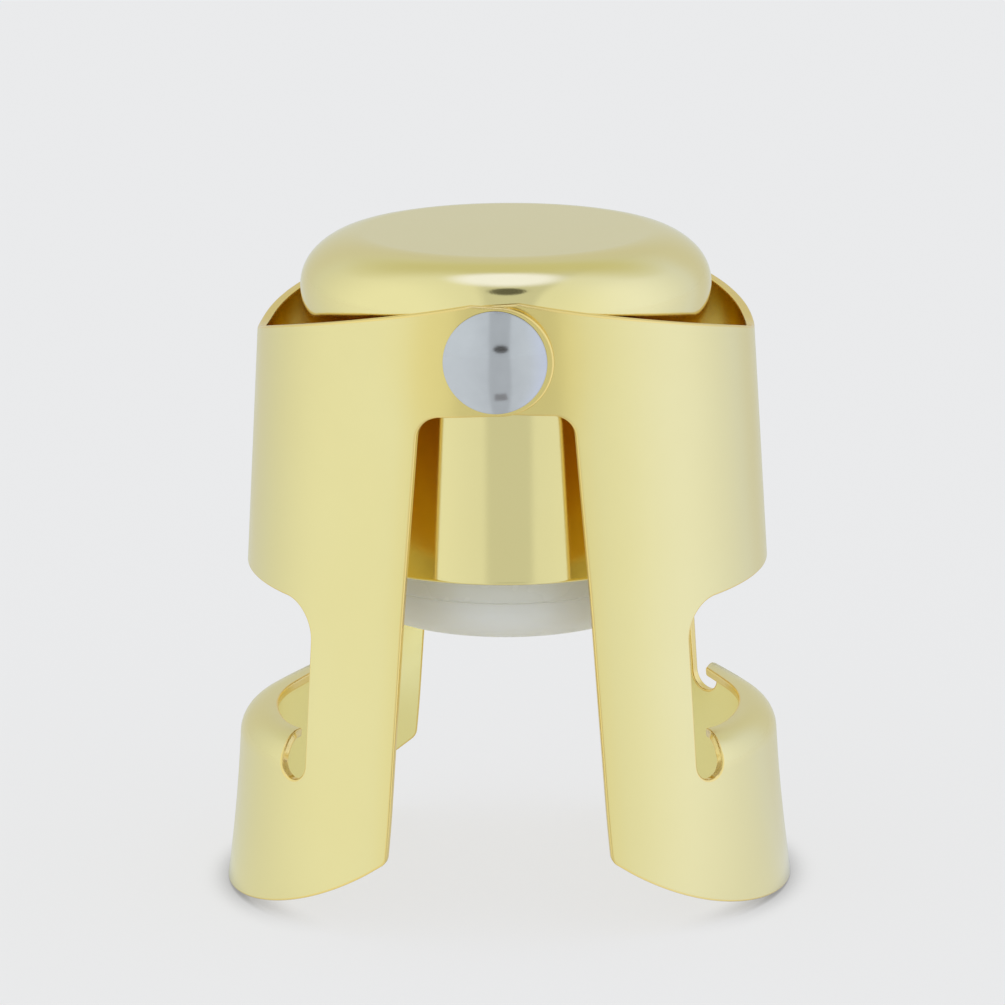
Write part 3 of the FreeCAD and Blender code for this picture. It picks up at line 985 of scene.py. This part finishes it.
    def loops(self) -> list:
        """All loops of the blank, with the material on the left of each.

        Returns:
            The outline, the window and the two pivot holes.
        """
        made = []
        for half, gap, sense in ((self.edge_half(), 0.5, 1.0), (self.window_half_loop(), 0.45, -1.0)):
            other = [(-s, z, r) for s, z, r in half[1:-1]][::-1]
            made.append(self.sensed(thin_loop(rounded(half + other), gap), sense))
        ear = self.way(self.pivot_x)
        for sign in (1, -1):
            turns = [-2 * math.pi * i / 28 for i in range(28)]
            made.append(np.array([(sign * ear + self.hole_radius * math.cos(q),
                                   EAR_RISE + self.hole_radius * math.sin(q)) for q in turns]))
        return made

    @staticmethod
    def sensed(loop: np.ndarray, sense: float) -> np.ndarray:
        """The loop run counter-clockwise (1) or clockwise (-1)."""
        following = np.roll(loop, -1, axis=0)
        area = float(np.sum(loop[:, 0] * following[:, 1] - following[:, 0] * loop[:, 1]))
        return loop if area * sense > 0 else loop[::-1].copy()

    def bent(self, s: np.ndarray, z: np.ndarray, w: np.ndarray) -> tuple:
        """Bend the blank.

        Args:
            s: way round of each point.
            z: its height on the blank.
            w: how far it is outside the sheet's middle.

        Returns:
            Its place and the sheet's normal there, in the arm's frame.
        """
        way = np.clip(s, -self.quarter, self.quarter)
        past = np.abs(s) - np.abs(way)
        phi = way / self.middle_radius
        bend = self.claw_bend - self.sheet / 2
        knee = self.middle_radius - bend
        fold = np.clip(z - self.claw_root, 0.0, None)
        slot = self.middle_radius * math.radians(self.window_half) - self.slot_round
        on_claw = (np.abs(s) < slot) & (z > self.claw_root) & (z < -30.0)
        fold = np.where(on_claw, fold, 0.0)
        psi = np.clip(fold / bend, 0.0, math.pi / 2)
        run = np.clip(fold - bend * math.pi / 2, 0.0, None)
        flat_z = np.where(on_claw, self.claw_root, z)
        radius = knee + (bend + w) * np.cos(psi) - run
        height = flat_z + (bend + w) * np.sin(psi)
        radius = np.where(on_claw, radius, self.middle_radius + w)
        height = np.where(on_claw, height, z)
        turned = (np.abs(phi) - math.radians(self.curl_start)) / math.radians(self.curl_span)
        curl = np.clip(turned, 0.0, 1.3) ** 2 * self.curl_height
        height = height + np.where(on_claw, curl * np.sin(psi), 0.0)
        x = radius * np.cos(phi) - past + self.flare(height)
        y = radius * np.sin(phi)
        near = np.hypot(x - self.pivot_x, z - EAR_RISE) < self.ear_radius + 0.6
        inner = self.middle_radius - self.sheet / 2
        y = np.where(near & (w < 0), np.sign(y) * np.maximum(np.abs(y), inner), y)
        slope = np.maximum(0.0, -height - self.flare_start) / self.flare_radius
        nx, ny = np.cos(phi) * np.cos(psi), np.sin(phi) * np.cos(psi)
        nz = np.sin(psi) + nx * slope
        return np.stack([x, y, height], 1), np.stack([nx, ny, nz], 1)

    def placed(self) -> Matrix:
        """From the arm's frame, on the axis of its bend, to the row frame at rest, in mm."""
        lean = Matrix.Rotation(-math.radians(self.tilt), 4, "Y")
        turn = Matrix.Rotation(0.0 if self.side is Side.RIGHT else math.pi, 4, "Z")
        side = Matrix.Translation((0.0, self.shift, 0.0))
        pivot = lifted(PIVOT_HEIGHT + EAR_RISE)
        return pivot @ turn @ side @ lean @ Matrix.Translation((-self.pivot_x, 0.0, -EAR_RISE))

    def filled(self, loops: list) -> tuple:
        """Triangulate the blank inside its loops.

        Args:
            loops: the loops, already drawn in by the edge's rounding.

        Returns:
            The points, the loops' own first, and the triangles.
        """
        every = np.concatenate(loops)
        low, high = every.min(0), every.max(0)
        columns = np.arange(low[0], high[0], self.grid)
        rows = np.arange(low[1], high[1], self.grid * 1.3)
        grid = np.array([(a + (self.grid / 2 if k % 2 else 0.0), b)
                         for k, b in enumerate(rows) for a in columns])
        fold = np.array([(a, b) for b in np.arange(self.claw_root, self.claw_root + 4.3, 0.36)
                         for a in np.arange(-13.6, 13.7, self.grid)])
        keep = ~((np.abs(grid[:, 0]) < 14.0) & (grid[:, 1] > self.claw_root - 0.4) & (grid[:, 1] < -34.0))
        grid = np.concatenate([grid[keep], fold])
        grid = grid[inside(grid, loops)]
        grid = grid[nearest(grid, loops) > self.grid * 0.34]
        points = np.concatenate([every, grid])
        edges = []
        start = 0
        for loop in loops:
            count = len(loop)
            edges += [(start + i, start + (i + 1) % count) for i in range(count)]
            start += count
        found = delaunay_2d_cdt([Vector(p) for p in points], edges, [], 0, 1e-7)
        spots = np.array([tuple(v) for v in found[0]])
        middles = np.array([spots[list(f)].mean(0) for f in found[2]])
        flags = inside(middles, loops)
        home = {}
        for number, sources in enumerate(found[3]):
            for source in sources:
                home[source] = number
        faces = [tuple(f) for f, flag in zip(found[2], flags) if flag]
        return spots, faces, [home[i] for i in range(len(every))]

    def build(self, finishes: list) -> Piece:
        """Cut, bend and round the arm.

        Args:
            finishes: the outer skin's, the inner skin's and the cut edges' material.

        Returns:
            The arm's object.
        """
        loops = self.loops()
        out = [outward(loop) for loop in loops]
        drawn_in = [loop - n * self.edge_round for loop, n in zip(loops, out)]
        spots, faces, rim = self.filled(drawn_in)
        half = self.sheet / 2
        count = len(spots)
        outer, outer_n = self.bent(spots[:, 0], spots[:, 1], np.full(count, half))
        inner, inner_n = self.bent(spots[:, 0], spots[:, 1], np.full(count, -half))
        places, normals = [outer, inner], [outer_n, -inner_n]
        skin = []
        for a, b, c in faces:
            pa, pb, pc = spots[a], spots[b], spots[c]
            sense = (pb[0] - pa[0]) * (pc[1] - pa[1]) - (pb[1] - pa[1]) * (pc[0] - pa[0])
            tri = (a, b, c) if sense > 0 else (a, c, b)
            skin.append(tri)
            skin.append(tuple(count + q for q in reversed(tri)))
        marks = [0, 1] * len(faces)
        angles = [math.radians(q) for q in (30, 60, 90)]
        start = 2 * count
        first = 0
        for loop, n in zip(loops, out):
            size = len(loop)
            rows = [[rim[first + i] for i in range(size)]]
            base = loop - n * self.edge_round
            for sense in (1, -1):
                for angle in (angles if sense > 0 else angles[::-1]):
                    across = base + n * (self.edge_round * math.sin(angle))
                    w = sense * (half - self.edge_round * (1 - math.cos(angle)))
                    spot, face_n = self.bent(across[:, 0], across[:, 1], np.full(size, w))
                    ahead, _ = self.bent(across[:, 0] + n[:, 0] * 0.01, across[:, 1] + n[:, 1] * 0.01,
                                         np.full(size, w))
                    side = ahead - spot
                    side /= np.maximum(np.linalg.norm(side, axis=1), 1e-9)[:, None]
                    places.append(spot)
                    normals.append(face_n * (sense * math.cos(angle)) + side * math.sin(angle))
                    rows.append(list(range(start, start + size)))
                    start += size
            rows.append([count + rim[first + i] for i in range(size)])
            for upper, lower in zip(rows, rows[1:]):
                for i in range(size):
                    j = (i + 1) % size
                    skin.append((upper[i], lower[i], lower[j], upper[j]))
                    marks.append(2)
            first += size
        name = self.side.name.lower() + "_arm"
        piece = shaped(name + "_pressed", np.concatenate(places).tolist(), skin, self.placed(),
                       normals=np.concatenate(normals))
        dress(piece, finishes[0], name, "gold_sheet", name)
        for finish in finishes[1:]:
            piece.data.materials.append(finish)
        piece.data.polygons.foreach_set("material_index", marks)
        return piece


# Studio

@dataclass(frozen=True)
class Patch:
    """A soft-edged patch of the room, seen only in reflections and as light."""

    heading: tuple
    reach: tuple
    core: float
    colour: tuple


@dataclass
class Studio:
    """Pale floor and backdrop, soft light and the camera."""

    backdrop: float = 0.83
    scale: float = 0.091
    distance: float = 4168.0
    elevation: float = 0.2494
    yaw: float = 0.0491
    roll: float = 0.0066
    side_shift: float = 4.78
    target: float = -187.4
    room_level: float = 1.0
    front_band: float = 0.19
    front_dip: float = 0.10
    back_dip: float = 0.28
    patches: tuple = (
        Patch((0.0, 0.53, 0.85), (1.3, 0.45, 0.45), 0.15, (0.66, 0.70, 0.57)),
        Patch((0.0, 0.065, 0.998), (0.36, 0.31, 0.31), 0.5, (1.04, 1.18, 2.0)),
        Patch((0.03, -0.40, 0.917), (0.15, 0.19, 0.19), 0.7, (0.13, 0.14, 0.14)),
        Patch((0.10, -0.981, 0.165), (0.20, 0.10, 0.10), 0.7, (0.12, 0.12, 0.12)),
    )
    block_place: tuple = (0.0046, -0.057)
    block_half: tuple = (0.0076, 0.007)
    block_colour: tuple = (0.33, 0.34, 0.36)
    rear_shift: float = 0.022
    paper: tuple = (0.97, 0.92, 0.87)
    # Reach and darkest level of the painted contact shadow at the feet.
    contact_shadow_reach: float = 0.0035
    contact_shadow_level: float = 0.38
    seen_share: float = 0.84
    glossy_share: float = 0.88

    def room(self, recipe: Recipe, heading: Socket, rear: Wire) -> Socket:
        """The pale room by heading: bright to both sides, dimmer before and behind the object.

        Args:
            recipe: the recipe that gets the nodes.
            heading: the heading's vector, of length 1.
            rear: how far the heading is to the rear, from -1 to 1.

        Returns:
            The room's colour.
        """
        across = recipe.parts(heading)[0]
        back = rear.ramp(-0.2, 1.0)
        middle = (across - 0.066).size()
        band = (1.0 - middle.ramp(0.18, 0.27)) * self.front_band
        band = band + (1.0 - middle.ramp(0.25, 0.80)) * self.front_dip
        level = self.room_level - band * (1.0 - back) - back * self.back_dip
        side = across * 0.7 + rear * 0.5
        tint = recipe.mix_colour(side.ramp(0.0, 0.65), (0.945, 1.04, 1.12), (0.975, 1.10, 1.44))
        tint = recipe.mix_colour(back.ramp(0.75, 1.0), tint, (0.94, 0.985, 0.95))
        return recipe.vector("SCALE", {0: tint, "Scale": level}).outputs[0]

    def light(self) -> None:
        """Make the world, with its bright and dark patches."""
        world = bpy.data.worlds.new("studio_air")
        bpy.context.scene.world = world
        recipe = Recipe(world)
        heading = recipe.coordinates("Generated")
        room = self.room(recipe, heading, recipe.parts(heading)[1])
        for patch in self.patches:
            near, far = (recipe.vector("DIVIDE", {0: spot, 1: patch.reach}).outputs[0]
                         for spot in (heading, patch.heading))
            gap = recipe.vector("DISTANCE", {0: near, 1: far})
            clear = recipe.wire(gap, "Value").ramp(patch.core, 1.0)
            room = recipe.mix_colour(clear, patch.colour, room)
        rays = recipe.node("ShaderNodeLightPath")
        seen = recipe.mix_colour(recipe.wire(rays, "Is Camera Ray"), room, (self.backdrop,) * 3)
        air = recipe.node("ShaderNodeBackground", {}, {"Color": seen, "Strength": 1.0})
        recipe.node("ShaderNodeOutputWorld", {}, {"Surface": air.outputs[0]})

    def floor(self) -> None:
        """Lay the pale floor, which keeps only a soft shadow, with a contact shadow painted into its glow
        near the feet.
        """
        recipe = Recipe.named("pale_floor")
        rays = recipe.node("ShaderNodeLightPath")
        place = recipe.coordinates("Object")
        heading = recipe.vector("NORMALIZE", {0: place})
        moved = recipe.vector("ADD", {0: place, 1: (0.0, self.rear_shift, 0.0)})
        rear = recipe.vector("NORMALIZE", {0: moved.outputs[0]})
        room = self.room(recipe, heading.outputs[0], recipe.parts(rear.outputs[0])[1])
        block = None
        for part, middle, half in zip(recipe.parts(place), self.block_place, self.block_half):
            near = 1.0 - (part - middle).size().ramp(half * 0.8, half * 1.2)
            block = near if block is None else block * near
        room = recipe.mix_colour(block, room, self.block_colour)
        seen = recipe.wire(rays, "Is Camera Ray") + recipe.wire(rays, "Is Transmission Ray")
        pale = recipe.mix_colour(seen, room, (self.backdrop,) * 3)
        paper = recipe.node("ShaderNodeBsdfDiffuse", {}, {"Color": self.paper})
        # Painted contact shadow: ambient occlusion darkens the floor's glow close to the feet.
        contact_shadow_ao = recipe.node("ShaderNodeAmbientOcclusion", {"samples": 12}, {"Distance": self.contact_shadow_reach})
        unshadowed_share = recipe.wire(contact_shadow_ao, "AO").ramp(0.30, 0.95) * (1.0 - self.contact_shadow_level) + self.contact_shadow_level
        pale = recipe.vector("SCALE", {0: pale, "Scale": unshadowed_share}).outputs[0]
        glow = recipe.node("ShaderNodeEmission", {}, {"Color": pale, "Strength": 1.0})
        share = seen * self.seen_share + recipe.wire(rays, "Is Glossy Ray") * self.glossy_share
        mixed = recipe.node("ShaderNodeMixShader", {}, {0: share, 1: paper.outputs[0], 2: glow.outputs[0]})
        recipe.node("ShaderNodeOutputMaterial", {}, {"Surface": mixed.outputs[0]})
        mesh = bpy.data.meshes.new("floor")
        ring = [(3.0 * math.cos(math.pi * i / 48), 3.0 * math.sin(math.pi * i / 48), 0.0) for i in range(96)]
        mesh.from_pydata(ring, [], [list(range(96))])
        mesh.materials.append(recipe.material)
        made = bpy.data.objects.new("floor", mesh)
        bpy.context.scene.collection.objects.link(made)

    def camera(self) -> None:
        """Set the camera where the photograph was taken from."""
        lens = bpy.data.cameras.new("camera")
        lens.sensor_width = 36.0
        lens.lens = 36.0 * self.distance / 1005.0
        lens.clip_start = 0.01
        lens.clip_end = 20.0
        made = bpy.data.objects.new("camera", lens)
        bpy.context.scene.collection.objects.link(made)
        bpy.context.scene.camera = made
        rise = Vector((0.0, math.sin(self.elevation), math.cos(self.elevation)))
        back = Vector((0.0, -math.cos(self.elevation), math.sin(self.elevation)))
        right = Vector((1.0, 0.0, 0.0))
        place = Vector((-self.side_shift, 0.0, self.target)) + back * self.distance
        tilted = right * math.cos(self.roll) - rise * math.sin(self.roll)
        up = right * math.sin(self.roll) + rise * math.cos(self.roll)
        turn = Matrix.Rotation(self.yaw, 3, "Z")
        columns = [turn @ tilted, turn @ up, turn @ back]
        rotation = Matrix(columns).transposed().to_4x4()
        spot = turn @ place * self.scale * MM + Vector((0.0, 0.0, PIVOT_HEIGHT * MM))
        made.matrix_world = Matrix.Translation(spot) @ rotation

    def build(self) -> None:
        """Make the whole studio."""
        bpy.context.scene.view_settings.view_transform = "Standard"
        bpy.context.scene.cycles.glossy_bounces = 10
        self.light()
        self.floor()
        self.camera()


def main() -> None:
    """Build every sub-assembly in order."""
    logging.basicConfig(level=logging.INFO, format="%(name)s: %(message)s")
    cast_gold = GoldPlate("gold_casting", roughness=0.10, wave=0.000008).make()
    sheet_gold = [
        GoldPlate("gold_sheet", roughness=0.20, painted_reflection_strength=0.55).make(),
        # Inner skin: a deeper amber copy of the plating as painted shade, with painted light low down and
        # painted shade high up.
        GoldPlate("gold_sheet_inside", (0.89, 0.71, 0.22), (0.86, 0.66, 0.18), 0.22,
                  paints_inner_light_and_shade=True, grazing=(0.8, 0.62, 0.3)).make(),
        # Cut edges: a deeper amber copy of the plating, a painted reflection.
        GoldPlate("gold_cut_edge", (0.90, 0.69, 0.26), (0.88, 0.65, 0.22), 0.22).make(),
    ]
    nickel = BrightNickel().make()
    CastBody().build(cast_gold)
    for side in Side:
        SheetArm(side).build(sheet_gold)
    for end in End:
        Rivet(end).build(nickel)
    plastic = MilkyPlastic("holder_plastic", (0.66, 0.65, 0.57), 0.28)
    silicone = MilkyPlastic("seal_silicone", (0.66, 0.65, 0.60), 0.40, milk=0.6)
    SealSet().build(plastic.make(), silicone.make(), DrawnWire().make())
    Studio().build()


if __name__ == "__main__":
    main()
